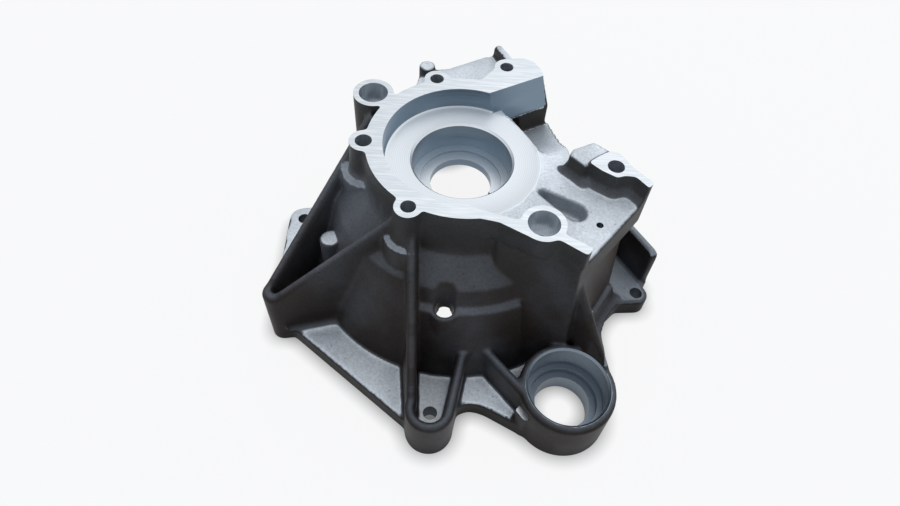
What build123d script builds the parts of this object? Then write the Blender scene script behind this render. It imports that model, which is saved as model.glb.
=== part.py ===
from build123d import *
import os

# Die cast bearing housing, one casting, millimetres.
# The origin is on the bearing axis in the machined foot face, and +Z is up the bore.

# Heights above the foot face
HEIGHT = 91.0
FOOT_THICKNESS = 10.0
SKIRT_HEIGHT = 28.0
SPOT_PAD_LEVEL = 19.5
LEFT_CORNER_HEIGHT = 36.0
RIGHT_FIN_HEIGHT = 34.0

# Casting walls, webs and broken edges
WALL = 4.5
RIB = 4.8
EDGE_BREAK = 1.6

# Bearing seat and the milled recess above it
BEARING_DIAMETER = 47.0
BEARING_DEPTH = 14.0
SEAT_CHAMFER = 1.0
SHOULDER_DIAMETER = 39.6
SHOULDER_STEP = 1.2
LIP_BORE = 29.6
LIP_THICKNESS = 4.0
HUB_WALL = 6.0
RECESS_DIAMETER = 73.6
RECESS_DEPTH = 10.8
RECESS_BREAK = 2.0
RIM_WIDTH = 8.0
RIM_DEPTH = 12.0
RIM_SKIM = 2.6
RIM_STEP = 0.8
OIL_SLOT_WIDTH = 1.6
OIL_SLOT_ANGLE = -26.0

# Bell shell under the rim: neck, shoulder and cone
NECK_DROP = 22.0
NECK_FLARE = 1.0
SHOULDER_DROP = 33.0
CEILING_INSET = 6.0
BELL_SHOULDER_RADIUS = 60.0
BELL_FOOT_RADIUS = 77.0

# Lower bearing boss at the front right
LOWER_BORE = 37.0
LOWER_WALL = 3.9
LOWER_SEAT_DEPTH = 14.0
LOWER_SHOULDER = 32.0
LOWER_LIP_BORE = 26.0
LOWER_CENTRE = (55.7, -86.4)

# Dowel bores and tapped holes in the top face
DOWEL_DIAMETER = 14.0
DOWEL_DEPTH = 13.0
DOWEL_DRILL = 8.0
DOWEL_PLACES = [(-45.0, 29.6), (35.8, -44.0)]
BOLT_DRILL = 6.8
WIDE_DRILL = 7.8
BOLT_DEPTH = 22.0
BOSS_WALL = 2.8
BOLT_PLACES = [(-15.2, 43.1), (-21.5, -40.3), (19.2, 56.0)]
LEFT_WIDE = (-45.4, -3.3)
SIDE_WIDE = (69.0, -8.1)
COLUMN_STEP = 19.0
COLUMN_RADIUS = 11.3
COLUMN_LEDGE = 3.2

# Side plate at the right, the pad behind it and the ramped gap between them
PLATE_STEP = 0.5
BAND_DROP = 26.5
BOSS_FOOT = 3.6
WALL_COVE = 8.0
RIB_COVE = 6.0
SKIM_STEP = 0.8
GAP_DROP = 32.0
GAP_RUN = 40.0
PAD_DEPTH = 17.0
PAD_LEAN = 16.0
TEARDROP_DEPTH = 9.0
TEARDROP_NOSE = ((36.6, -16.6), 1.4)
TEARDROP_END = ((52.0, -27.6), 4.8)
VENT_PLACE = (62.0, -34.3)
VENT_DRILL = 3.2

# Rear ledge with its web and post
REAR_DROP = 14.0
NOSE_DROP = 5.0
NOSE_END_DROP = 8.0
POST_PLACE = (-21.6, 65.6)
POST_RADIUS = 3.5
POST_DROP = 11.0

# Front shelf with its access hole, and the ejector boss beside the left ribs
SHELF_LEVEL = 50.0
SHELF_RADIUS = 67.0
ACCESS_HOLE = 8.6
ACCESS_LIP = 2.6
ACCESS_SCOOP = 9.0
ACCESS_PLACE = (-3.2, -63.6)
EJECTOR_PLACE = (-60.6, -28.2)
EJECTOR_RADIUS = 5.2
EJECTOR_LEVEL = 49.0

# Foot ears and their bolt holes
FOOT_DRILL = 6.6
FRONT_EAR = (-6.6, -101.0)
FRONT_EAR_RADIUS = 11.4
FRONT_HOLE = (-6.4, -96.6)
LEFT_EAR = (-86.0, 13.5)
LEFT_EAR_RADIUS = 8.4
RIGHT_EAR = (98.0, -20.6)
RIGHT_EAR_RADIUS = 6.3
REAR_EARS = [(-58.0, 66.0), (62.0, 62.0)]
REAR_EAR_RADIUS = 10.0
LEFT_CORNER = (-84.6, -51.6)
LEFT_CORNER_RADIUS = 6.2
CORNER_POCKET_ROUND = 2.0

# Levels and radii that follow
TOP = HEIGHT
RIM_LEVEL = TOP - RIM_DEPTH
FLOOR_LEVEL = TOP - RECESS_DEPTH
PLATE_LEVEL = FLOOR_LEVEL + PLATE_STEP
SEAT_LEVEL = FLOOR_LEVEL - BEARING_DEPTH
LIP_LEVEL = SEAT_LEVEL - SHOULDER_STEP
HUB_LEVEL = LIP_LEVEL - LIP_THICKNESS
NECK_LEVEL = TOP - NECK_DROP
SHOULDER_LEVEL = TOP - SHOULDER_DROP
GAP_LEVEL = TOP - GAP_DROP
BAND_LEVEL = TOP - BAND_DROP
REAR_LEVEL = TOP - REAR_DROP
DRILL_LEVEL = TOP - BOLT_DEPTH
LOWER_SEAT_LEVEL = SKIRT_HEIGHT - LOWER_SEAT_DEPTH
RIM_RADIUS = RECESS_DIAMETER / 2 + RIM_WIDTH
NECK_RADIUS = RIM_RADIUS + RIM_STEP
HUB_RADIUS = BEARING_DIAMETER / 2 + HUB_WALL
LOWER_RADIUS = LOWER_BORE / 2 + LOWER_WALL
DOWEL_BOSS = DOWEL_DIAMETER / 2 + BOSS_WALL
BOLT_BOSS = BOLT_DRILL / 2 + BOSS_WALL
WIDE_BOSS = WIDE_DRILL / 2 + BOSS_WALL
RUN_OUT = 1.0


def prism(outline, low, high):
    """Upright prism of a flat outline between two heights."""
    return extrude(Pos(0, 0, low) * outline, high - low)


def rod(place, radius, low, high):
    """Upright cylinder at a place in plan."""
    return prism(Pos(*place) * Circle(radius), low, high)


def polygon(*points):
    """Flat face through points."""
    return make_face(Polyline(*points, close=True))


def hull(*discs):
    """Flat face stretched tightly round discs given as (place, radius)."""
    return make_hull([(Pos(*place) * Circle(radius)).edge() for place, radius in discs])


def turned(*points):
    """Solid of revolution round Z from (radius, height) points."""
    return revolve(Plane.XZ * polygon(*points), Axis.Z)


def flared(top_outline, high, foot_outline, low):
    """Block with straight walls from one outline to another with as many corners."""
    return loft([Pos(0, 0, low) * foot_outline, Pos(0, 0, high) * top_outline], ruled=True)


def grown(outline, amount):
    """Outline moved outwards by an amount, with sharp corners."""
    return offset(outline, amount, kind=Kind.INTERSECTION)


def soft_top(solid):
    """Solid with the edges of its highest flat face broken."""
    return chamfer(solid.faces().sort_by(Axis.Z)[-1].edges(), EDGE_BREAK)


def rib(start, end, foot=0.0):
    """Upright web with a broken crest that runs straight from start to end."""
    reach = Vector(end[0] - start[0], end[1] - start[1])
    run = reach.length
    along = reach.normalized()
    plane = Plane(origin=(start[0], start[1], 0), x_dir=along, z_dir=along.cross(Vector(0, 0, 1)))
    profile = polygon((0, foot), (run, foot), (run, end[2]), (0, start[2]))
    web = extrude(plane * profile, RIB / 2, both=True)
    crest = web.faces().sort_by(Axis.Z)[-1]
    return chamfer(crest.edges().sort_by(SortBy.LENGTH)[-2:], EDGE_BREAK)


def cove(start, end, inset, radius, level):
    """Concave strip at the foot of a wall whose mid-line has its outside on the right."""
    reach = Vector(end[0] - start[0], end[1] - start[1])
    along = reach.normalized()
    plane = Plane(origin=(end[0], end[1], level), x_dir=along.cross(Vector(0, 0, 1)), z_dir=-along)
    face_end = (inset + radius, 0)
    wall_end = (inset, radius)
    curve = RadiusArc(face_end, wall_end, radius)
    profile = make_face([curve, Polyline(wall_end, (0, radius), (0, 0), face_end)])
    return extrude(plane * profile, reach.length)


# Bell and the hollow under it
bell = turned(
    (0, 0),
    (BELL_FOOT_RADIUS, 0),
    (BELL_FOOT_RADIUS, FOOT_THICKNESS),
    (BELL_SHOULDER_RADIUS, SHOULDER_LEVEL),
    (NECK_RADIUS + NECK_FLARE, NECK_LEVEL),
    (NECK_RADIUS, TOP - RIM_SKIM),
    (0, TOP - RIM_SKIM),
)
ceiling = FLOOR_LEVEL - WALL
bell_hollow = turned(
    (0, -RUN_OUT),
    (BELL_FOOT_RADIUS - WALL, -RUN_OUT),
    (BELL_FOOT_RADIUS - WALL, FOOT_THICKNESS),
    (BELL_SHOULDER_RADIUS - WALL, SHOULDER_LEVEL - WALL),
    (NECK_RADIUS - WALL - CEILING_INSET, ceiling),
    (0, ceiling),
)

# Right-hand body: an upright band under the side plate, then walls that spread to the foot
STRIP_CORNER = (53.2, -59.1)
STRIP_END = (55.8, -55.3)
PLATE_CORNER = (82.6, -19.9)
PLATE_SIDE = (85.2, -16.4)
body_top = polygon(
    (12, -36),
    (17.5, -44.5),
    (42, -51.8),
    (53.2, -58.8),
    STRIP_END,
    PLATE_CORNER,
    PLATE_SIDE,
    (70.6, 1.9),
    (60.5, 8),
    (48, 4),
    (30, 6),
)
body_waist = polygon(
    (12, -37),
    (17.5, -45),
    (42, -53),
    (52.2, -59.6),
    (54.4, -56),
    (76.9, -15.8),
    (79, -12),
    (70.6, 1.9),
    (60.5, 8),
    (48, 4),
    (30, 6),
)
body_foot = polygon(
    (14, -58),
    (22, -64),
    (42, -67),
    (57, -67),
    (59, -62),
    (81, -25),
    (84, -20),
    (76, 2),
    (64, 14),
    (48, 14),
    (30, 12),
)
band = prism(body_top, BAND_LEVEL, PLATE_LEVEL)
body = flared(body_waist, PLATE_LEVEL, body_foot, 0)
body_hollow = flared(grown(body_waist, -WALL), PLATE_LEVEL - WALL, grown(body_foot, -WALL), -RUN_OUT)
wall_cove = cove((58.6, -61), (82.4, -21.5), WALL / 2, WALL_COVE, FOOT_THICKNESS)

# Pad at the right rear: its walls lean outwards, then drop straight
PAD_FRONT = [(10.3, 34.8), (37.3, 51.2)]
pad_plan = polygon(*PAD_FRONT, (36.4, 55.7), (32.6, 61.7), (27.5, 63.9), (19.2, 62.2), (6, 43))
pad_head = extrude(Pos(0, 0, TOP) * pad_plan, PAD_DEPTH, dir=(0, 0, -1), taper=-PAD_LEAN)
pad_base = extrude(pad_head.faces().sort_by(Axis.Z)[0], TOP - PAD_DEPTH, dir=(0, 0, -1))

# Gap floor that ramps up from the foot of the pad to the side plate
across = Vector(PAD_FRONT[1][1] - PAD_FRONT[0][1], PAD_FRONT[0][0] - PAD_FRONT[1][0]).normalized()
ramp_plane = Plane(origin=PAD_FRONT[0], x_dir=across, z_dir=across.cross(Vector(0, 0, 1)))
ramp_line = [(0, GAP_LEVEL), (GAP_RUN, PLATE_LEVEL), (2 * GAP_RUN, PLATE_LEVEL), (2 * GAP_RUN, 0), (-WALL, 0)]
ramp = extrude(ramp_plane * polygon((-WALL, GAP_LEVEL), *ramp_line), HEIGHT, both=True)
gap_floor_plan = polygon(
    (10, 20), (20, 52), (44.8, 50), (46.2, 35), (47.8, 20.5), (50.6, 11.5), (52, 4), (48, -2), (30, -6)
)
gap_floor = ramp & prism(gap_floor_plan, 0, TOP)

# Rear body with its ledge, a round-nosed web and a post
rear_top = polygon((-30, 30), (-25, 66), (-10, 70), (9, 82), (20, 84), (36, 58), (30, 30))
rear_foot = polygon((-34, 30), (-29, 70), (-12, 75), (9, 87), (24, 88), (42, 61), (36, 30))
rear_body = flared(rear_top, REAR_LEVEL, rear_foot, 0)
rear_hollow = flared(grown(rear_top, -WALL), REAR_LEVEL - WALL, grown(rear_foot, -WALL), -RUN_OUT)
nose = rib((27, 60, TOP - NOSE_DROP), (15, 85, TOP - NOSE_END_DROP), REAR_LEVEL - WALL)
post = rod(POST_PLACE, POST_RADIUS, FOOT_THICKNESS, TOP - POST_DROP)

# Top rim with its bosses and the front strip
inner_edge = [(4, -37.2), (12.4, -40.0), (27, -43.6), (46, -49.8)]
strip_plan = polygon(
    (-4, -42), (12, -44.4), (17, -45.2), (31, -52.4), (42, -52.2), STRIP_CORNER, STRIP_END, *inner_edge[::-1]
)
open_side = polygon((0, 0), *PAD_FRONT, (120, 101.4), (120, -20), STRIP_END, *inner_edge[::-1])
rim_plan = Circle(RIM_RADIUS) - open_side + strip_plan + pad_plan
rim_plan = rim_plan + [Pos(*place) * Circle(DOWEL_BOSS) for place in DOWEL_PLACES]
rim_plan = rim_plan + [Pos(*place) * Circle(BOLT_BOSS) for place in BOLT_PLACES]
rim_plan = rim_plan + Pos(*LEFT_WIDE) * Circle(WIDE_BOSS)
rim = prism(rim_plan, RIM_LEVEL, TOP)
bell = bell - prism(open_side, PLATE_LEVEL, TOP)

# Columns that carry the bosses down the bell, two of them with a narrow ledge
FRONT_BOLT = BOLT_PLACES[1]
left_of_bolt = polygon(FRONT_BOLT, (-16, -100), (-60, -100), (-60, -30))
ledged_column = turned(
    (0, FOOT_THICKNESS),
    (COLUMN_RADIUS, FOOT_THICKNESS),
    (COLUMN_RADIUS, TOP - COLUMN_STEP),
    (COLUMN_RADIUS - COLUMN_LEDGE, TOP - COLUMN_STEP),
    (BOLT_BOSS, TOP),
    (0, TOP),
)
columns = [
    Pos(*LEFT_WIDE) * ledged_column,
    Pos(*FRONT_BOLT) * ledged_column & prism(left_of_bolt, 0, TOP),
    rod(FRONT_BOLT, BOLT_BOSS, FOOT_THICKNESS, TOP),
    rod(BOLT_PLACES[0], BOLT_BOSS, FOOT_THICKNESS, TOP),
    rod(DOWEL_PLACES[0], DOWEL_BOSS, FOOT_THICKNESS, TOP),
]

# Raised boss on the side plate
boss_plan = polygon(
    (48, -2.2),
    (50.5, 2.6),
    (60.5, 8),
    (67.9, 2.2),
    (70.6, 1.9),
    (77, -8.4),
    PLATE_SIDE,
    PLATE_CORNER,
    (77.4, -13.6),
    (72.5, -13.4),
    (69.0, -15.0),
    (62.3, -11.2),
    (57.2, -6.5),
    (55.6, -9.3),
)
side_boss = prism(boss_plan, BAND_LEVEL, TOP - SKIM_STEP)
boss_foot = flared(boss_plan, PLATE_LEVEL + BOSS_FOOT, grown(boss_plan, BOSS_FOOT), PLATE_LEVEL)
boss_foot = boss_foot & prism(body_top, 0, TOP)
skimmed_plan = polygon(
    (57.2, -6.8),
    (62.4, -2.3),
    (67.1, 0.9),
    (71.6, 0.4),
    (77, -8.4),
    PLATE_SIDE,
    PLATE_CORNER,
    (77.4, -13.6),
    (72.5, -13.4),
    (69.0, -15.0),
    (62.3, -11.2),
)
skimmed_face = prism(skimmed_plan, BAND_LEVEL, TOP)

# Foot flange with its ears
foot_plan = polygon(
    (-84, -52.6), (-12, -105.7), (4, -97), (4, -60), (80, -37), (87, -29), (105, -12), (60, 30), (-90, 0)
)
foot_plan = foot_plan + Circle(BELL_FOOT_RADIUS + WALL)
foot_plan = foot_plan + Pos(*FRONT_EAR) * Circle(FRONT_EAR_RADIUS)
foot_plan = foot_plan + hull(
    (LEFT_CORNER, LEFT_CORNER_RADIUS), (LEFT_EAR, LEFT_EAR_RADIUS), ((0, 0), BELL_FOOT_RADIUS / 2)
)
foot_plan = foot_plan + hull((RIGHT_EAR, RIGHT_EAR_RADIUS), ((70, 20), 10), ((70, -20), 10))
for rear_ear in REAR_EARS:
    foot_plan = foot_plan + hull((rear_ear, REAR_EAR_RADIUS), ((0, 0), BELL_FOOT_RADIUS / 2))
notch_line = [
    ThreePointArc((3, -98), (6.9, -92.6), (12.6, -90.4)),
    ThreePointArc((12.6, -90.4), (17.5, -91.2), (22, -93)),
    Polyline((22, -93), (40, -101.8), LOWER_CENTRE, (77, -80), (79, -58), (77.6, -46), (80, -37)),
    Polyline((80, -37), (2, -40), (3, -98)),
]
foot_plan = foot_plan + make_face(notch_line)
foot_plan = foot_plan + Pos(*LOWER_CENTRE) * Circle(LOWER_RADIUS)
foot = prism(foot_plan, 0, FOOT_THICKNESS)

# Skirt walls round the front ear, the notch arch and the lower boss
EAR_CORNER = (-14.9, -98.7)
EAR_TURN = (2.2, -102)
ARCH_START = (6.4, -75.4)
ARCH_END = (19.6, -72.8)
ear_line = Curve() + [
    Line((-17.4, -70), EAR_CORNER),
    ThreePointArc(EAR_CORNER, (-6.6, -110.2), EAR_TURN),
    Polyline(EAR_TURN, (3, -97), ARCH_START),
    ThreePointArc(ARCH_START, (13.4, -69.7), ARCH_END),
    Line(ARCH_END, (43, -98.4)),
]
skirt_plan = make_face(ear_line.wire().offset_2d(RIB / 2).edges())
skirt = soft_top(prism(skirt_plan, 0, SKIRT_HEIGHT))
arch_fill = prism(polygon((3.7, -62), (3.7, -73), (20.6, -69.2), (22, -60)), 0, SKIRT_HEIGHT)
spot_pad = prism(polygon((36.5, -92.5), (40, -97.5), (36.4, -100.6), (32.6, -95.8)), 0, SPOT_PAD_LEVEL)
boss_wall = soft_top(rod(LOWER_CENTRE, LOWER_RADIUS, 0, SKIRT_HEIGHT))

# Corner and outer ribs
corner_post = soft_top(rod(LEFT_CORNER, LEFT_CORNER_RADIUS, 0, LEFT_CORNER_HEIGHT))
corner_pocket = hull(((-84.2, -51.3), CORNER_POCKET_ROUND), ((-72.2, -41.9), LEFT_CORNER_RADIUS))
corner_post = corner_post - prism(corner_pocket, FOOT_THICKNESS, TOP)
ribs = [
    rib((-45, 19, TOP - 3), (-88.0, -49.8, LEFT_CORNER_HEIGHT)),
    rib((-26, -37, TOP - 9), (-83.6, -55.2, LEFT_CORNER_HEIGHT)),
    rib((-20.2, -38, TOP - 4), (*EAR_CORNER, SKIRT_HEIGHT)),
    rib((56, -55, TOP - 26), (74.0, -76.5, SKIRT_HEIGHT)),
    rib((78, 27, RIGHT_FIN_HEIGHT), (103.4, -11.6, RIGHT_FIN_HEIGHT)),
    rib((56, 33, RIGHT_FIN_HEIGHT), (79.5, 26, RIGHT_FIN_HEIGHT)),
]
rib_cove = cove((-82, -54.6), (-40, -41.4), RIB / 2, RIB_COVE, FOOT_THICKNESS)
flank_foot = polygon((-19.2, -50), EAR_CORNER, (-19, -98), (-25.5, -62))
flank_crest = polygon((-19.2, -50), EAR_CORNER, (-17.2, -98.5), (-20.6, -62))
flank = flared(flank_crest, SKIRT_HEIGHT, flank_foot, 0)

# Shelf at the front of the bell, with a half-round boss under its access hole
shelf = turned(
    (BELL_SHOULDER_RADIUS - WALL, FOOT_THICKNESS),
    (BELL_FOOT_RADIUS, FOOT_THICKNESS),
    (SHELF_RADIUS, SHELF_LEVEL),
    (BELL_SHOULDER_RADIUS - WALL, SHELF_LEVEL),
)
shelf_sector = prism(polygon((0, 0), (-23, -100), (55, -100)), 0, HEIGHT)
shelf = shelf & shelf_sector
access_boss = rod(ACCESS_PLACE, ACCESS_HOLE / 2 + ACCESS_LIP, FOOT_THICKNESS, SHELF_LEVEL)
ejector_boss = rod(EJECTOR_PLACE, EJECTOR_RADIUS, FOOT_THICKNESS, EJECTOR_LEVEL)

outside = bell + band + body + wall_cove + gap_floor + pad_head + pad_base + rear_body + nose + post
outside = outside + rim + columns + side_boss + boss_foot + skimmed_face + foot
outside = outside + skirt + arch_fill + spot_pad + boss_wall + corner_post + ribs + rib_cove + flank
outside = outside + shelf + access_boss + ejector_boss

# Gap cut down to its ramp beside the recess floor, then the hollows under the casting
gap_plan = polygon(PAD_FRONT[0], (20.2, 35.2), (38.6, 6.8), (47.5, -1.6), (51, 4), (80, 20), (80, 77.2))
gap = prism(gap_plan, GAP_LEVEL, TOP + RUN_OUT) - ramp - pad_head - pad_base
gap_guard = prism(grown(gap_plan, WALL), GAP_LEVEL - WALL, TOP)
housing = outside - gap - (bell_hollow - gap_guard) - (body_hollow - gap_guard) - rear_hollow

# Hub and blind columns that hang into the hollows
inner = [rod((0, 0), HUB_RADIUS, HUB_LEVEL, FLOOR_LEVEL)]
column_end = DRILL_LEVEL - WALL
inner = inner + [rod(place, BOLT_BOSS, column_end, RIM_LEVEL) for place in BOLT_PLACES]
inner = inner + [rod(DOWEL_PLACES[0], DOWEL_BOSS, column_end, RIM_LEVEL)]
inner = inner + [rod(DOWEL_PLACES[1], DOWEL_BOSS, column_end, RIM_LEVEL) & body]
inner = inner + [rod(LEFT_WIDE, WIDE_BOSS, column_end, RIM_LEVEL)]
inner = inner + [rod(SIDE_WIDE, WIDE_BOSS, column_end, PLATE_LEVEL)]
scoop = Pos(*ACCESS_PLACE) * turned(
    (0, SHELF_LEVEL), (ACCESS_HOLE / 2, SHELF_LEVEL), (ACCESS_SCOOP, NECK_LEVEL), (0, NECK_LEVEL)
)
scoop_back = rod(ACCESS_PLACE, ACCESS_SCOOP + WALL, SHELF_LEVEL - WALL, NECK_LEVEL) & bell_hollow
housing = housing + inner + scoop_back

# Milled recess, bearing seat and lip, turned in one setting
half_recess = RECESS_DIAMETER / 2
half_bearing = BEARING_DIAMETER / 2
seat = turned(
    (0, HUB_LEVEL - RUN_OUT),
    (LIP_BORE / 2, HUB_LEVEL - RUN_OUT),
    (LIP_BORE / 2, LIP_LEVEL),
    (SHOULDER_DIAMETER / 2, LIP_LEVEL),
    (SHOULDER_DIAMETER / 2, SEAT_LEVEL),
    (half_bearing, SEAT_LEVEL),
    (half_bearing, FLOOR_LEVEL - SEAT_CHAMFER),
    (half_bearing + SEAT_CHAMFER, FLOOR_LEVEL),
    (half_recess - RECESS_BREAK, FLOOR_LEVEL),
    (half_recess, FLOOR_LEVEL + RECESS_BREAK),
    (half_recess, TOP + RUN_OUT),
    (0, TOP + RUN_OUT),
)
oil_slot = Rot(0, 0, OIL_SLOT_ANGLE) * prism(
    polygon((0, -OIL_SLOT_WIDTH / 2), (half_bearing, -OIL_SLOT_WIDTH / 2),
            (half_bearing, OIL_SLOT_WIDTH / 2), (0, OIL_SLOT_WIDTH / 2)),
    LIP_LEVEL - SHOULDER_STEP, SEAT_LEVEL + RUN_OUT
)
housing = housing - seat - oil_slot

# Lower bearing seat
half_lower = LOWER_BORE / 2
lower_seat = turned(
    (0, -RUN_OUT),
    (LOWER_LIP_BORE / 2, -RUN_OUT),
    (LOWER_LIP_BORE / 2, LOWER_SEAT_LEVEL - LIP_THICKNESS),
    (LOWER_SHOULDER / 2, LOWER_SEAT_LEVEL - LIP_THICKNESS),
    (LOWER_SHOULDER / 2, LOWER_SEAT_LEVEL),
    (half_lower, LOWER_SEAT_LEVEL),
    (half_lower, SKIRT_HEIGHT - SEAT_CHAMFER),
    (half_lower + SEAT_CHAMFER, SKIRT_HEIGHT),
    (half_lower + SEAT_CHAMFER, HEIGHT / 2),
    (0, HEIGHT / 2),
)
housing = housing - Pos(*LOWER_CENTRE) * lower_seat

# Drilled holes
holes = []
for place in DOWEL_PLACES:
    holes.append(rod(place, DOWEL_DIAMETER / 2, TOP - DOWEL_DEPTH, TOP + RUN_OUT))
    holes.append(rod(place, DOWEL_DRILL / 2, DRILL_LEVEL, TOP))
for place in BOLT_PLACES:
    holes.append(rod(place, BOLT_DRILL / 2, DRILL_LEVEL, TOP + RUN_OUT))
for place in [LEFT_WIDE, SIDE_WIDE]:
    holes.append(rod(place, WIDE_DRILL / 2, DRILL_LEVEL, TOP + RUN_OUT))
for place in [FRONT_HOLE, LEFT_EAR, RIGHT_EAR] + REAR_EARS:
    holes.append(rod(place, FOOT_DRILL / 2, -RUN_OUT, FOOT_THICKNESS + RUN_OUT))
holes.append(rod(ACCESS_PLACE, ACCESS_HOLE / 2, -RUN_OUT, SHELF_LEVEL + RUN_OUT))
holes.append(scoop)
holes.append(rod(VENT_PLACE, VENT_DRILL / 2, PLATE_LEVEL - WALL - RUN_OUT, PLATE_LEVEL + RUN_OUT))
teardrop_plan = hull(TEARDROP_NOSE, TEARDROP_END)
teardrop_level = PLATE_LEVEL - TEARDROP_DEPTH
housing = housing + prism(offset(teardrop_plan, WALL), teardrop_level - WALL, PLATE_LEVEL - PLATE_STEP)
housing = housing - prism(teardrop_plan, teardrop_level, TOP) - holes

os.makedirs("parts", exist_ok=True)
export_step(housing, "parts/housing.step")
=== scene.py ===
import math

import bmesh
import bpy
import numpy as np
from mathutils import Matrix, Vector


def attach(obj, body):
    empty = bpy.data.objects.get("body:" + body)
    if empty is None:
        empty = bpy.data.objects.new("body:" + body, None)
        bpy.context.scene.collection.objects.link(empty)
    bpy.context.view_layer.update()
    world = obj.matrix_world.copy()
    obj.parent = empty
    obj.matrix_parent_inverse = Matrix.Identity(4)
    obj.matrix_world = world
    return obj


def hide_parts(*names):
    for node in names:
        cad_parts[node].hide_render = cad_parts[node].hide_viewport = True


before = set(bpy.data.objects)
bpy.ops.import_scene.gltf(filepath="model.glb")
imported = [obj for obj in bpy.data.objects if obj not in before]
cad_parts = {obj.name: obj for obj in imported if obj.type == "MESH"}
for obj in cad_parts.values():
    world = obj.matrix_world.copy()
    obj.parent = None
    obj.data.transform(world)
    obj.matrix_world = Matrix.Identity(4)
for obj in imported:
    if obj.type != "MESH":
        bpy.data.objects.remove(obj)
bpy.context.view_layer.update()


# Die cast blank: the aluminium as it leaves the die, before any milling. The die rounds every
# corner and edge, and the bores are still full, so the solid is plugged and rounded all over.
# Sizes and places are in millimetres.
MM = 0.001
TOP = 91.0
FLOOR = 80.2
FOOT = 10.0
STOCK = 2.5
STOCK_TOP = TOP + STOCK
STOCK_FOOT = -STOCK
FLAT = 0.01
SEAM = 0.001
BLOCK_FACES = [
    [0, 1, 3, 2],
    [4, 6, 7, 5],
    [0, 4, 5, 1],
    [2, 3, 7, 6],
    [0, 2, 6, 4],
    [1, 5, 7, 3],
]


def mesh_object(name, points, faces):
    """New object from an array of points in millimetres and a list of faces."""
    mesh = bpy.data.meshes.new(name)
    mesh.from_pydata((np.asarray(points) * MM).tolist(), [], faces)
    mesh.validate()
    piece = bpy.data.objects.new(name, mesh)
    bpy.context.collection.objects.link(piece)
    return piece


def upright(name, corners, bottom, top):
    """Upright block: four corners in plan, each at the bottom and at the top, in the order of
    BLOCK_FACES."""
    points = [(x, y, z) for x, y in corners for z in (bottom, top)]
    return mesh_object(name, points, BLOCK_FACES)


def turned(name, profile, places=((0.0, 0.0),), steps=96):
    """Closed surfaces of revolution: each (radius, height) of the profile is carried round a
    circle at every place, x = cx + r cos a, y = cy + r sin a, with a pole at both ends."""
    profile = np.array(profile, dtype=float)
    angle = np.linspace(0, 2 * np.pi, steps, endpoint=False)
    across = profile[:, :1] * np.cos(angle)
    along = profile[:, :1] * np.sin(angle)
    rise = np.repeat(profile[:, 1:], steps, axis=1)
    rings = np.stack([across, along, rise], axis=-1).reshape(-1, 3)
    shell = np.vstack([rings, [[0, 0, profile[0, 1]], [0, 0, profile[-1, 1]]]])
    here = np.arange(steps)
    there = (here + 1) % steps
    row = (np.arange(len(profile) - 1) * steps)[:, None]
    quads = np.stack([row + here, row + there, row + steps + there, row + steps + here], axis=-1)
    last = (len(profile) - 1) * steps
    bottom = np.stack([there, here, np.full(steps, len(rings))], axis=-1)
    top = np.stack([last + here, last + there, np.full(steps, len(rings) + 1)], axis=-1)
    points = []
    faces = []
    for number, place in enumerate(places):
        points.append(shell + np.array([*place, 0.0]))
        start = number * len(shell)
        faces += (quads.reshape(-1, 4) + start).tolist()
        faces += (bottom + start).tolist() + (top + start).tolist()
    return mesh_object(name, np.vstack(points), faces)


def rod(name, radius, bottom, top, places, steps=96):
    """Upright cylinders: one radius carried round every place, from the bottom to the top."""
    return turned(name, [(radius, bottom), (radius, top)], places, steps)


def combine(piece, tool, operation):
    """Adds a boolean with a closed tool to a piece."""
    step = piece.modifiers.new(operation.lower(), "BOOLEAN")
    step.operation = operation
    step.solver = "MANIFOLD"
    step.object = tool
    tool.hide_render = True


def settle(piece):
    """Replaces a piece's mesh by what its modifiers make of it."""
    bpy.context.view_layer.update()
    graph = bpy.context.evaluated_depsgraph_get()
    mesh = bpy.data.meshes.new_from_object(piece.evaluated_get(graph))
    piece.modifiers.clear()
    piece.data = mesh


def weld(piece, gap):
    """Joins the vertices of a piece that lie closer than a gap in millimetres."""
    shape = bmesh.new()
    shape.from_mesh(piece.data)
    bmesh.ops.remove_doubles(shape, verts=shape.verts, dist=gap * MM)
    bmesh.ops.dissolve_degenerate(shape, edges=shape.edges, dist=gap * MM)
    shape.to_mesh(piece.data)
    shape.free()


def read(mesh, part, key, width):
    """Array of one property of a mesh's vertices, edges, loops or polygons."""
    kind = np.int32 if key == "vertices" else float
    values = np.empty(len(getattr(mesh, part)) * width, dtype=kind)
    getattr(mesh, part).foreach_get(key, values)
    return values.reshape(-1, width)


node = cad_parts["housing"]
casting = bpy.data.objects.new("housing_casting", node.data.copy())
bpy.context.collection.objects.link(casting)
weld(casting, SEAM)
place = read(casting.data, "vertices", "co", 3)
place[place[:, 2] > (TOP - FLAT) * MM, 2] += STOCK * MM
place[place[:, 2] < FLAT * MM, 2] -= STOCK * MM
casting.data.vertices.foreach_set("co", place.ravel())

# The front of the rear pad leans outwards and is milled down to PAD_END.
PAD_CORNER = np.array([10.3, 34.8])
PAD_RUN = np.array([0.855, 0.519])
PAD_OUT = np.array([0.519, -0.855])
PAD_LEAN = math.tan(math.radians(16.0))
PAD_END = 74.6
PAD_GAP = 7.0
PAD_LENGTH = 31.0
PAD_STOCK = (-3.0, 1.5)


def before_pad(name, run, bottom, top, depth):
    """Block that leans with the front of the pad: reach = (top face - z) * tan(lean) + offset,
    with the ends of the block in run and its two offsets in depth."""
    corners = []
    for along in run:
        for offset in reversed(depth):
            for z in (bottom, top):
                reach = (TOP - z) * PAD_LEAN + offset
                corners.append((*(PAD_CORNER + along * PAD_RUN + reach * PAD_OUT), z))
    return mesh_object(name, corners, BLOCK_FACES)


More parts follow.
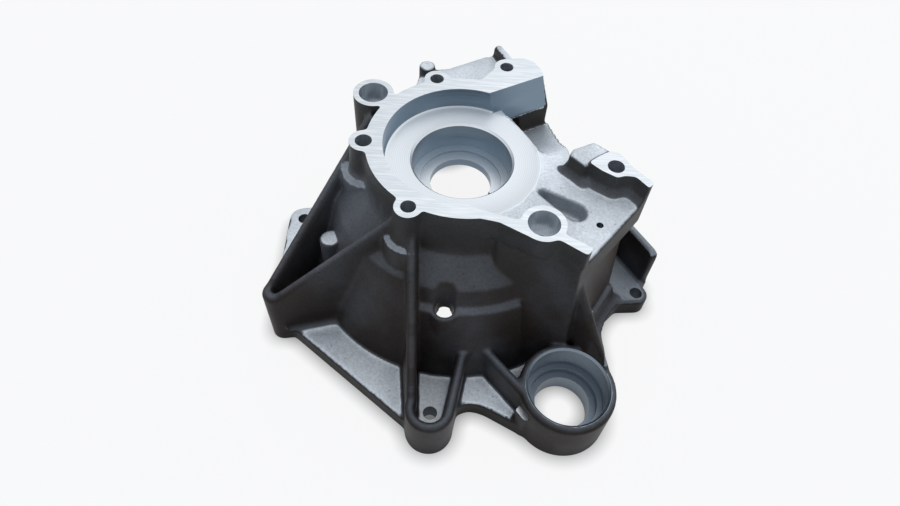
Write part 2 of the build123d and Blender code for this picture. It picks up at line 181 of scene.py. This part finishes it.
# The plugs of the holes are wider than the holes that are cut through them later. The others add
# stock on the recess floor, the pad and the spot face, and the post has its own size here.
HUB = 61.0
SEAT_PLUG = 25.2
RECESS_PLUG = 35.4
RING = (55.7, -86.4)
RING_TOP = 28.0
RING_PLUG = 19.9
DOWELS = ((-45.0, 29.6), (35.8, -44.0))
DOWEL_PLUG = 7.6
BOLTS = ((-15.2, 43.1), (-21.5, -40.3), (19.2, 56.0))
WIDE_BOLTS = ((-45.4, -3.3), (69.0, -8.1))
BOLT_PLUG = 4.3
DRILL_END = 69.0
EARS = ((-6.4, -96.6), (-86.0, 13.5), (98.0, -20.6), (-58.0, 66.0), (62.0, 62.0))
EAR_PLUG = 3.8
VENT = (62.0, -34.3)
VENT_PLUG = 2.1
POST = (-21.6, 65.4)
POST_RADIUS = 4.3
POST_TOP = 81.4
SPOT = ((32.2, -96.0), (37.0, -92.0), (36.6, -101.2), (41.0, -97.0))
SPOT_TOP = 19.5
SUNK = 0.1
seat_fill = [
    (SEAT_PLUG, HUB),
    (SEAT_PLUG, FLOOR - 1.2),
    (RECESS_PLUG, FLOOR - 1.0),
    (RECESS_PLUG, FLOOR + 0.7),
]
pad_run = (-3.0, PAD_LENGTH)
pad_foot_run = (PAD_GAP + 0.5, PAD_LENGTH)
plugs = [
    turned("plug_seat", seat_fill),
    rod("plug_ring", RING_PLUG, STOCK_FOOT, RING_TOP - SUNK, (RING,)),
    rod("plug_dowels", DOWEL_PLUG, DRILL_END - 1, STOCK_TOP, DOWELS),
    rod("plug_bolts", BOLT_PLUG, DRILL_END - 1, STOCK_TOP, BOLTS + WIDE_BOLTS),
    rod("plug_ears", EAR_PLUG, STOCK_FOOT, FOOT - SUNK, EARS),
    rod("plug_vent", VENT_PLUG, 75.0, 80.6, (VENT,)),
    rod("plug_post", POST_RADIUS, 60.0, POST_TOP, (POST,)),
    before_pad("plug_pad", pad_run, FLOOR + 0.6, STOCK_TOP, PAD_STOCK),
    before_pad("plug_pad_foot", pad_foot_run, PAD_END + 0.8, FLOOR + 1, PAD_STOCK),
    upright("plug_spot", SPOT, FOOT - 1, SPOT_TOP + 1.5),
]
for plug in plugs:
    combine(casting, plug, "UNION")

# The upper end corner of the right fin is round.
FIN_END = np.array([103.4, -11.6])
FIN_RUN = np.array([0.55, -0.835])
FIN_TOP = 34.0
FIN_ROUND = 5.0
FIN_HALF = 6.0
FIN_CLEAR = 2.0


def fin_corner(steps=8):
    """Block over the end of the fin with a round hollow: along = end - r + r cos a,
    z = top - r + r sin a, carried across the fin."""
    angle = np.linspace(math.pi / 2, 0, steps)
    profile = [(FIN_CLEAR, -FIN_ROUND), (FIN_CLEAR, FIN_CLEAR), (-FIN_ROUND, FIN_CLEAR)]
    profile += [(FIN_ROUND * (math.cos(a) - 1), FIN_ROUND * (math.sin(a) - 1)) for a in angle]
    across = np.array([FIN_RUN[1], -FIN_RUN[0]])
    points = []
    for offset in (-FIN_HALF, FIN_HALF):
        for along, rise in profile:
            points.append((*(FIN_END + along * FIN_RUN + offset * across), FIN_TOP + rise))
    size = len(profile)
    faces = [list(range(size))[::-1], list(range(size, 2 * size))]
    for here in range(size):
        there = (here + 1) % size
        faces.append([here, there, size + there, size + here])
    return mesh_object("fin_corner", points, faces)


fin_tool = fin_corner()
combine(casting, fin_tool, "DIFFERENCE")
settle(casting)

GRAIN = 0.8
BLANK_TRIANGLES = 150000
grain = casting.modifiers.new("grain", "REMESH")
grain.mode = "VOXEL"
grain.voxel_size = GRAIN * MM
rounding = casting.modifiers.new("rounding", "SMOOTH")
rounding.factor = 0.5
rounding.iterations = 12
settle(casting)
thin = casting.modifiers.new("thin", "DECIMATE")
thin.ratio = min(1.0, BLANK_TRIANGLES / (2 * len(casting.data.polygons)))
settle(casting)


# Milled faces and bores: the casting is clamped once and faced, turned and drilled, which
# leaves flat bright metal with sharp rims against the rounded cast skin.
CHAMFER = 1.0
RUN_OUT = 2.0
SKIM = 0.08
RECESS = 36.8 + SKIM
SEAT_MOUTH = 24.5
RING_MOUTH = 19.5
DOWEL_RADIUS = 7.0
DOWEL_FLOOR = 78.0
DOWEL_DRILL = 4.0
BOLT_RADIUS = 3.4
WIDE_RADIUS = 3.9
EAR_RADIUS = 3.3
VENT_RADIUS = 1.6
TABLE = 150.0
MILL = 20.0
SLOT_TURN = math.radians(-26.0)
SLOT_END = 23.4
SLOT_HALF = 0.8
SLOT_LEVELS = (63.8, 67.2)
SPOT_CUT = ((31.0, -96.0), (33.8, -93.6), (36.4, -102.4), (39.2, -99.4))
PAD_CUT = (0.0, 5.0)
PAD_CUT_END = 40.0


def bearing_bore(bottom, lip, lip_level, shoulder, seat_level, mouth, top):
    """Profile of a stepped bearing bore from below: lip, shoulder and seat, where the seat's
    radius = the mouth's radius - chamfer."""
    seat = mouth - CHAMFER
    return [
        (lip, bottom),
        (lip, lip_level),
        (shoulder, lip_level),
        (shoulder, seat_level),
        (seat, seat_level),
        (seat, top - CHAMFER),
        (mouth, top),
    ]


above_stock = STOCK_TOP + RUN_OUT
below_stock = STOCK_FOOT - RUN_OUT
seat_profile = bearing_bore(
    bottom=55.0, lip=14.8, lip_level=65.0, shoulder=19.8, seat_level=66.2,
    mouth=SEAT_MOUTH, top=FLOOR,
)
seat_profile += [
    (RECESS - 2.0, FLOOR),
    (RECESS - 0.6, FLOOR + 0.6),
    (RECESS, FLOOR + 2.0),
    (RECESS, above_stock),
]
ring_profile = bearing_bore(
    bottom=below_stock, lip=13.0, lip_level=10.0, shoulder=16.0, seat_level=14.0,
    mouth=RING_MOUTH, top=RING_TOP,
)
ring_profile.append((RING_MOUTH, RING_TOP + 4))
dowel_profile = [
    (DOWEL_DRILL, DRILL_END),
    (DOWEL_DRILL, DOWEL_FLOOR),
    (DOWEL_RADIUS, DOWEL_FLOOR),
    (DOWEL_RADIUS, above_stock),
]
slab = ((-TABLE, -TABLE), (-TABLE, TABLE), (TABLE, -TABLE), (TABLE, TABLE))
slot_along = np.array((math.cos(SLOT_TURN), math.sin(SLOT_TURN)))
slot_across = np.array((-slot_along[1], slot_along[0]))
slot = []
for reach in (0.0, SLOT_END):
    for offset in (-SLOT_HALF, SLOT_HALF):
        slot.append(reach * slot_along + offset * slot_across)
cutters = [
    upright("face_mill", slab, TOP, TOP + MILL),
    upright("foot_mill", slab, -MILL, 0),
    upright("spot_mill", SPOT_CUT, SPOT_TOP, SPOT_TOP + 4),
    turned("seat_tool", seat_profile, steps=192),
    turned("ring_tool", ring_profile, (RING,), steps=144),
    turned("dowel_tool", dowel_profile, DOWELS),
    rod("bolt_tool", BOLT_RADIUS, DRILL_END, above_stock, BOLTS, 64),
    rod("wide_tool", WIDE_RADIUS, DRILL_END, above_stock, WIDE_BOLTS, 64),
    rod("ear_tool", EAR_RADIUS, below_stock, 2 * FOOT, EARS, 64),
    rod("vent_tool", VENT_RADIUS, 70.0, 85.0, (VENT,), 32),
    upright("slot_tool", slot, *SLOT_LEVELS),
    before_pad("pad_mill", (-0.2, PAD_CUT_END), FLOOR + 0.02, above_stock, PAD_CUT),
    before_pad("pad_foot_mill", (PAD_GAP, PAD_CUT_END), PAD_END, FLOOR + 1, PAD_CUT),
]
for cutter in cutters:
    combine(casting, cutter, "DIFFERENCE")
settle(casting)
for tool in [*plugs, fin_tool, *cutters]:
    bpy.data.objects.remove(tool)
SLIVER = 0.004
weld(casting, SLIVER)

TOUCH = 0.1
middle = read(casting.data, "polygons", "center", 3) / MM
normal = read(casting.data, "polygons", "normal", 3)
steep = np.abs(normal[:, 2]) < 0.5


def within(place, radius, bottom, top=STOCK_TOP):
    """Which faces lie inside an upright cylinder: distance from its axis < radius, and z
    between the bottom and the top."""
    reach = np.hypot(middle[:, 0] - place[0], middle[:, 1] - place[1])
    return (reach < radius) & (middle[:, 2] > bottom) & (middle[:, 2] < top)


def at_height(z):
    """Which faces have their middle within FLAT of one height."""
    return np.abs(middle[:, 2] - z) < FLAT


milled = at_height(TOP) | at_height(0)
milled |= within((0, 0), RECESS + 0.05, FLOOR - 0.02)
milled |= within((0, 0), SEAT_MOUTH + TOUCH, HUB + TOUCH)
milled |= within(RING, RING_MOUTH + TOUCH, 0.0, RING_TOP + FLAT)
milled |= at_height(SPOT_TOP) & within(RING, 30.0, FOOT) & (normal[:, 2] > 0.9)
pad_along = (middle[:, :2] - PAD_CORNER) @ PAD_RUN
pad_reach = (middle[:, :2] - PAD_CORNER) @ PAD_OUT
on_pad = np.abs(pad_reach - (TOP - middle[:, 2]) * PAD_LEAN) < 0.03
milled |= on_pad & (pad_along > -0.3) & (pad_along < PAD_CUT_END) & (middle[:, 2] > PAD_END)
milled |= within(PAD_CORNER, 8.0, FLOOR - 0.01, FLOOR + 0.03)
turned_wall = milled & steep
for hole in DOWELS:
    milled |= within(hole, DOWEL_RADIUS + TOUCH, DRILL_END - TOUCH)
for hole in BOLTS + WIDE_BOLTS:
    milled |= within(hole, WIDE_RADIUS + TOUCH, DRILL_END - TOUCH)
drilled = within(RING, RING_MOUTH + TOUCH, FLAT, RING_TOP + FLAT)
for hole in EARS:
    drilled |= within(hole, EAR_RADIUS + TOUCH, FLAT, FOOT + 1) & steep
drilled |= within(VENT, VENT_RADIUS + TOUCH, 70.0) & steep


# Cast skin: how level each place lies, as the upward share of the normals of the cast faces at
# each vertex and its neighbours. Level faces get painted light, and the walls painted shade.
TINY = 1e-15
corner = read(casting.data, "loops", "vertex_index", 1).astype(int).ravel()
size = read(casting.data, "polygons", "loop_total", 1).astype(int).ravel()
area = read(casting.data, "polygons", "area", 1).ravel() * ~(milled | turned_wall | drilled)
count = len(casting.data.vertices)
weight = np.bincount(corner, np.repeat(area, size), count) + TINY
level = np.bincount(corner, np.repeat(area * normal[:, 2], size), count) / weight
ends = read(casting.data, "edges", "vertices", 2)
spot = read(casting.data, "vertices", "co", 3) / MM
spot_x, spot_y, spot_z = spot.T
span = np.linalg.norm(spot[ends[:, 0]] - spot[ends[:, 1]], axis=1)
pull = np.exp(-((span / (2 * GRAIN)) ** 2))


def near_mean(values, mass):
    """Mean over each vertex and its neighbours: the sum of value * mass * nearness over the sum
    of mass * nearness."""
    total = mass * values
    share = mass.copy()
    for near, far in (ends.T, ends.T[::-1]):
        total += np.bincount(near, pull * mass[far] * values[far], count)
        share += np.bincount(near, pull * mass[far], count)
    return total / share


level = near_mean(level, weight)

# The painted light of the foot and of the upper plates runs over their outer edges and fades
# there, as a painted highlight on the rounded edges.
PALE = 0.9
SIDE = 0.4
FADE = 0.03
FADE_STEPS = 3
EDGE_SPAN = 2.5
EDGE_DROP = 0.02
plates = (spot_z < 15) | (spot_z > 56)
for _ in range(FADE_STEPS):
    for near, far in (ends.T, ends.T[::-1]):
        over = (level[near] > PALE) & (level[far] > SIDE) & (span < EDGE_SPAN)
        over &= plates[near] & (spot_z[far] < spot_z[near] - EDGE_DROP)
        level[far[over]] = np.maximum(level[far[over]], level[near[over]] - FADE)

# The crests of the skirt, of the left corner and of the front shelf get less painted light, so
# they are darker than the plates, and so does the right ear. The crest of its fin is an even grey
# of painted light.
CORNER_CREST = 35.0
SHELF = 50.0
GREY = 0.9
crest = (np.abs(spot_z - RING_TOP) < 2) | (np.abs(spot_z - CORNER_CREST) < 3)
crest |= (np.abs(spot_z - SHELF) < 2) & (spot_y < -45)
right_side = spot_x > 72
right_ear = right_side & (spot_z < 40)
level[crest & ~right_ear] *= 0.88
level[right_ear] *= 0.9
fin_crest = right_side & (spot_z > FIN_TOP - 5) & (spot_z < FIN_TOP + 1) & (level > SIDE)
level[fin_crest] = GREY

# The walls of the teardrop pocket get painted light, about as pale as the plate round it, against
# the shade in the pocket.
TEARDROP = (46.0, -23.0)
TEARDROP_HALF = (12.0, 11.0)
teardrop = (np.abs(spot[:, :2] - TEARDROP) < TEARDROP_HALF).all(axis=1)
teardrop &= (spot_z > 71) & (spot_z < 81)
level[teardrop] = np.maximum(level[teardrop], 0.92)

# The pocket between the two left ribs gets painted light against its shade, from the middle of each
# rib inwards.
POCKET = (((-45, 19), (-86, -49)), ((-83.6, -55.2), (-26, -37)), ((-26, -37), (-45, 19)))
POCKET_TOP = 78.0
POCKET_BLEND = 3.0
inside = POCKET_TOP - spot_z
for start, end in POCKET:
    run = np.array(end) - start
    inside = np.minimum(inside, (spot[:, :2] - start) @ (-run[1], run[0]) / np.hypot(*run))
level = np.maximum(level, 0.5 + 0.3 * np.clip(inside / POCKET_BLEND, 0, 1))

# The floor of the gap gets a little more painted light than its slope alone would give.
gap = (spot_x > 12) & (spot_x < 56) & (spot_y > 0) & (spot_z > 55) & (level > 0.8)
level[gap] += 0.08

# The ledges of two columns get the same grey of painted light as the crest of the fin, a painted
# highlight.
LEDGE = 72.0
LEDGE_REACH = 12.0
for column in (BOLTS[1], WIDE_BOLTS[0]):
    ledge = np.hypot(*(spot[:, :2] - column).T) < LEDGE_REACH
    ledge &= (np.abs(spot_z - LEDGE) < 1.2) & (level > 0.6)
    level[ledge] = GREY
layer = casting.data.attributes.new("level", "FLOAT", "POINT")
layer.data.foreach_set("value", level.astype(np.float32))


def add(tree, kind, inputs=None, **settings):
    """Adds a node, with its settings, and with its inputs as values or as sockets to link."""
    new = tree.nodes.new(kind)
    for name, value in settings.items():
        setattr(new, name, value)
    for name, value in (inputs or {}).items():
        if isinstance(value, bpy.types.NodeSocket):
            tree.links.new(value, new.inputs[name])
        else:
            new.inputs[name].default_value = value
    return new


def linear(code):
    """Linear colour of an sRGB hex value: part / 12.92 up to 0.04045, and above it
    (part + 0.055) / 1.055 to the power 2.4."""
    part = np.array([int(code[i:i + 2], 16) for i in (1, 3, 5)]) / 255
    value = np.where(part <= 0.04045, part / 12.92, ((part + 0.055) / 1.055) ** 2.4)
    return (*value.tolist(), 1.0)


def material(name):
    """New material with its node tree and its shader."""
    new = bpy.data.materials.new(name)
    new.use_nodes = True
    return new, new.node_tree, new.node_tree.nodes["Principled BSDF"]


# Die cast aluminium: a grey metal whose walls are painted a dark brown shade, darker towards the
# foot, and whose level faces are painted pale as lit from above, with random stained patches and
# with fine dark pits that show where it lies level.
PATCH = 30.0
GRIT = 1.2
PIT = 4.5
skin, tree, shader = material("die_cast_aluminium")
where = add(tree, "ShaderNodeTexCoord").outputs["Object"]
lying = add(tree, "ShaderNodeAttribute", attribute_name="level").outputs["Fac"]
patches = {"Vector": where, "Scale": 1 / (PATCH * MM), "Detail": 3.0}
stain = add(tree, "ShaderNodeTexNoise", patches).outputs["Fac"]
grains = {"Vector": where, "Scale": 1 / (GRIT * MM), "Detail": 4.0}
speck = add(tree, "ShaderNodeTexNoise", grains).outputs["Fac"]
pores = {"Vector": where, "Scale": 1 / (PIT * MM)}
pit = add(tree, "ShaderNodeTexVoronoi", pores).outputs["Distance"]
height = add(tree, "ShaderNodeSeparateXYZ", {0: where}).outputs["Z"]
rise = add(tree, "ShaderNodeMapRange", {"Value": height, "From Max": TOP * MM}).outputs[0]
# Painted shade: the walls are dark brown, darkest towards the foot.
painted_wall_shade = add(tree, "ShaderNodeValToRGB", {"Fac": rise})
painted_wall_shade.color_ramp.elements[0].color = linear("#150f0c")
painted_wall_shade.color_ramp.elements[1].color = linear("#474542")
painted_wall_shade.color_ramp.elements.new(0.5).color = linear("#3a322d")
limits = {"Value": stain, "From Min": 0.45, "From Max": 0.7, "To Max": 0.45}
clean = add(tree, "ShaderNodeMapRange", limits).outputs[0]
# The painted wall shade is mixed with random patches of a cleaner grey.
coats = {"Factor": clean, "A": painted_wall_shade.outputs["Color"], "B": linear("#4f5154")}
wall_shade_and_stain = add(tree, "ShaderNodeMix", coats, data_type="RGBA").outputs["Result"]
# Painted light: the level faces are pale as lit from above, and the faces between get a faint painted
# sheen, most on the crests.
painted_light = add(tree, "ShaderNodeValToRGB", {"Fac": lying})
painted_light.color_ramp.elements[0].position = 0.5
painted_light.color_ramp.elements[1].position = 0.95
for lean, share in ((0.72, 0.07), (0.88, 0.17)):
    painted_light.color_ramp.elements.new(lean).color = (share, share, share, 1.0)
coats = {"Factor": painted_light.outputs[0], "A": wall_shade_and_stain, "B": linear("#e0e6eb")}
tone = add(tree, "ShaderNodeMix", coats, data_type="RGBA").outputs["Result"]
shade = 1.0
for value, low, high, dark, light in (
    (stain, 0.35, 0.65, 0.82, 1.12),
    (speck, 0.3, 0.7, 0.86, 1.1),
    (pit, 0.04, 0.11, 0.5, 1.0),
):
    limits = {"Value": value, "From Min": low, "From Max": high, "To Min": dark, "To Max": light}
    part = add(tree, "ShaderNodeMapRange", limits).outputs[0]
    shade = add(tree, "ShaderNodeMath", {0: shade, 1: part}, operation="MULTIPLY").outputs[0]
colour = add(tree, "ShaderNodeVectorMath", {0: tone, "Scale": shade}, operation="SCALE")
tree.links.new(colour.outputs[0], shader.inputs["Base Color"])
limits = {"Value": lying, "From Min": 0.6, "From Max": 1.0, "To Min": 0.46, "To Max": 0.55}
rough = add(tree, "ShaderNodeMapRange", limits)
tree.links.new(rough.outputs[0], shader.inputs["Roughness"])
bump = add(tree, "ShaderNodeBump", {"Height": speck, "Distance": 0.12 * MM, "Strength": 0.6})
tree.links.new(bump.outputs["Normal"], shader.inputs["Normal"])
limits = {"Value": painted_light.outputs[0], "To Min": 0.05, "To Max": 0.6}
bare = add(tree, "ShaderNodeMapRange", limits)
tree.links.new(bare.outputs[0], shader.inputs["Metallic"])
shader.inputs["Specular IOR Level"].default_value = 0.1

# Milled aluminium: bare bright metal, nearly white, with straight cutter streaks on the top face
# and faint turned rings below it. Both are drawn coarser than real ones, so that they show.
CUT_PITCH = 0.9
STREAK_LENGTH = 12.0
STREAK_WIDTH = 0.8
STREAK_TURN = 0.6
STREAK_FOOT = 85.0


def wave_scale(pitch):
    """Scale of a Wave texture for a pitch in millimetres: pi / 10 over the pitch."""
    return math.pi / 10 / (pitch * MM)


faced, tree, shader = material("milled_aluminium")
where = add(tree, "ShaderNodeTexCoord").outputs["Object"]
cuts = {"Vector": where, "Scale": wave_scale(CUT_PITCH), "Distortion": 0.4, "Detail": 1.0}
marks = add(tree, "ShaderNodeTexWave", cuts, wave_type="RINGS", rings_direction="Z").outputs["Fac"]
long = 1 / (STREAK_LENGTH * MM)
stretch = {"Vector": where, "Rotation": (0, 0, STREAK_TURN), "Scale": (long, 1 / (STREAK_WIDTH * MM), long)}
along = add(tree, "ShaderNodeMapping", stretch).outputs[0]
streak = add(tree, "ShaderNodeTexNoise", {"Vector": along, "Scale": 1.0, "Detail": 3.0}).outputs["Fac"]
height = add(tree, "ShaderNodeSeparateXYZ", {0: where}).outputs["Z"]
on_top = add(tree, "ShaderNodeMath", {0: height, 1: STREAK_FOOT * MM}, operation="GREATER_THAN")
faint = add(tree, "ShaderNodeMapRange", {"Value": marks, "To Min": 0.45, "To Max": 0.6})
cut = add(tree, "ShaderNodeMix", {"Factor": on_top.outputs[0], "A": faint.outputs[0], "B": streak})
limits = {"Value": cut.outputs["Result"], "From Min": 0.4, "From Max": 0.8}
tone = add(tree, "ShaderNodeMapRange", limits).outputs[0]
coats = {"Factor": tone, "A": linear("#c9d0d7"), "B": linear("#e6eaee")}
colour = add(tree, "ShaderNodeMix", coats, data_type="RGBA")
tree.links.new(colour.outputs["Result"], shader.inputs["Base Color"])
shader.inputs["Metallic"].default_value = 0.9
shader.inputs["Roughness"].default_value = 0.36
bump = add(tree, "ShaderNodeBump", {"Height": marks, "Distance": 0.01 * MM, "Strength": 0.5})
tree.links.new(bump.outputs["Normal"], shader.inputs["Normal"])

# Turned aluminium: the steep cut walls of the main bore, of its recess and of the pad, painted
# blue-grey and darker than the milled faces as shade and a bluish reflection, with level cutter
# marks, which are drawn coarser than real ones, so that they show.
BORE_PITCH = 2.2
shaded_bore_finish, tree, shader = material("turned_aluminium")
where = add(tree, "ShaderNodeTexCoord").outputs["Object"]
cuts = {"Vector": where, "Scale": wave_scale(BORE_PITCH), "Distortion": 0.5}
rings = add(tree, "ShaderNodeTexWave", cuts, bands_direction="Z").outputs["Fac"]
# Painted shade and reflection: darker and bluer than the milled faces.
shader.inputs["Base Color"].default_value = linear("#7a8b9a")
shader.inputs["Metallic"].default_value = 0.9
shader.inputs["Roughness"].default_value = 0.3
bump = add(tree, "ShaderNodeBump", {"Height": rings, "Distance": 0.02 * MM, "Strength": 0.5})
tree.links.new(bump.outputs["Normal"], shader.inputs["Normal"])

# Drilled aluminium: the holes of the ears, the vent in the side plate and the lower seat, painted
# darker than the milled faces as shade in the holes, with grooves at the pitch of an M8 thread.
GROOVE_PITCH = 1.25
shaded_hole_finish, tree, shader = material("drilled_aluminium")
where = add(tree, "ShaderNodeTexCoord").outputs["Object"]
cuts = {"Vector": where, "Scale": wave_scale(GROOVE_PITCH)}
grooves = add(tree, "ShaderNodeTexWave", cuts, bands_direction="Z").outputs["Fac"]
# Painted shade: the holes are darker than the milled faces.
shader.inputs["Base Color"].default_value = linear("#7a8590")
shader.inputs["Metallic"].default_value = 0.9
shader.inputs["Roughness"].default_value = 0.4
bump = add(tree, "ShaderNodeBump", {"Height": grooves, "Distance": 0.1 * MM, "Strength": 0.5})
tree.links.new(bump.outputs["Normal"], shader.inputs["Normal"])

casting.data.materials.clear()
for finish in (skin, faced, shaded_bore_finish, shaded_hole_finish):
    casting.data.materials.append(finish)
finish_number = np.select([drilled, turned_wall, milled], [3, 2, 1], 0)
casting.data.polygons.foreach_set("material_index", finish_number.astype(np.int32))
flat = milled & ((np.abs(normal[:, 2]) > 0.99) | on_pad)
casting.data.polygons.foreach_set("use_smooth", ~flat)
casting.data.set_sharp_from_angle(angle=math.radians(32))
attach(casting, "root")
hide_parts("housing")


# Stage: a pale paper floor that reads as white to the camera and is a little darker close to the
# casting, where ambient occlusion dims its glow as a contact shadow, an open sky of soft light with
# two soft lamps, and the camera.
FLOOR_HALF = 3000.0
SHELTER = 8.0
WHITE = (1, 1, 1, 1)
floor_plan = [
    (-FLOOR_HALF, -FLOOR_HALF, 0),
    (FLOOR_HALF, -FLOOR_HALF, 0),
    (FLOOR_HALF, FLOOR_HALF, 0),
    (-FLOOR_HALF, FLOOR_HALF, 0),
]
floor = mesh_object("floor", floor_plan, [[0, 1, 2, 3]])
paper, tree, shader = material("white_paper")
shader.inputs["Base Color"].default_value = linear("#e6e6e6")
shader.inputs["Roughness"].default_value = 0.9


def shown(tree):
    """Share of a ray that sees the white background: the largest of its camera, glossy and
    transmission shares."""
    rays = add(tree, "ShaderNodeLightPath").outputs
    share = rays["Is Camera Ray"]
    for kind in ("Is Glossy Ray", "Is Transmission Ray"):
        larger = add(tree, "ShaderNodeMath", {0: share, 1: rays[kind]}, operation="MAXIMUM")
        share = larger.outputs[0]
    return share


share = add(tree, "ShaderNodeMath", {0: shown(tree), 1: 0.9}, operation="MULTIPLY")
# Shade made in the glow: ambient occlusion darkens the floor close to the casting as its shadow.
shelter = add(tree, "ShaderNodeAmbientOcclusion", {"Distance": SHELTER * MM})
glow = add(tree, "ShaderNodeEmission", {"Color": WHITE, "Strength": shelter.outputs["AO"]})
parts = {0: share.outputs[0], 1: shader.outputs[0], 2: glow.outputs[0]}
mixed = add(tree, "ShaderNodeMixShader", parts)
tree.links.new(mixed.outputs[0], tree.nodes["Material Output"].inputs["Surface"])
floor.data.materials.append(paper)

world = bpy.data.worlds.new("studio")
bpy.context.scene.world = world
world.use_nodes = True
tree = world.node_tree
back = tree.nodes["Background"]
back.inputs["Color"].default_value = linear("#c4d2e6")
back.inputs["Strength"].default_value = 0.75
white = add(tree, "ShaderNodeBackground", {"Color": WHITE, "Strength": 1.0})
parts = {0: shown(tree), 1: back.outputs[0], 2: white.outputs[0]}
mixed = add(tree, "ShaderNodeMixShader", parts)
tree.links.new(mixed.outputs[0], tree.nodes["World Output"].inputs["Surface"])


def lamp(name, place, aim, size, power, colour):
    """Square soft lamp at a place that faces an aim, both in metres."""
    light = bpy.data.lights.new(name, "AREA")
    light.size = size
    light.energy = power
    light.color = linear(colour)[:3]
    holder = bpy.data.objects.new(name, light)
    holder.location = place
    holder.rotation_euler = (Vector(aim) - Vector(place)).to_track_quat("-Z", "Y").to_euler()
    bpy.context.collection.objects.link(holder)


AIM = (0.0, 0.0, 0.05)
lamp("sky_lamp", (0.4, 0.5, 0.95), AIM, 1.3, 2.2, "#ffffff")
lamp("front_lamp", (-0.6, -0.8, 0.8), AIM, 0.8, 0.4, "#dfe8f5")

camera = bpy.data.cameras.new("camera")
camera.sensor_width = 36.0
camera.lens = 26.78
camera.clip_start = 0.01
viewer = bpy.data.objects.new("camera", camera)
pitch = math.radians(53.59)
roll = math.radians(4.2)
ahead = Vector((0, math.cos(pitch), -math.sin(pitch)))
sideways = Vector((1, 0, 0))
upward = Vector((0, math.sin(pitch), math.cos(pitch)))
right = sideways * math.cos(roll) + upward * math.sin(roll)
above = upward * math.cos(roll) - sideways * math.sin(roll)
turn = Matrix((right, above, -ahead)).transposed().to_4x4()
viewer.matrix_world = Matrix.Translation((-0.00253, -0.22164, 0.30623)) @ turn
bpy.context.collection.objects.link(viewer)
bpy.context.scene.camera = viewer
bpy.context.scene.view_settings.view_transform = "Standard"
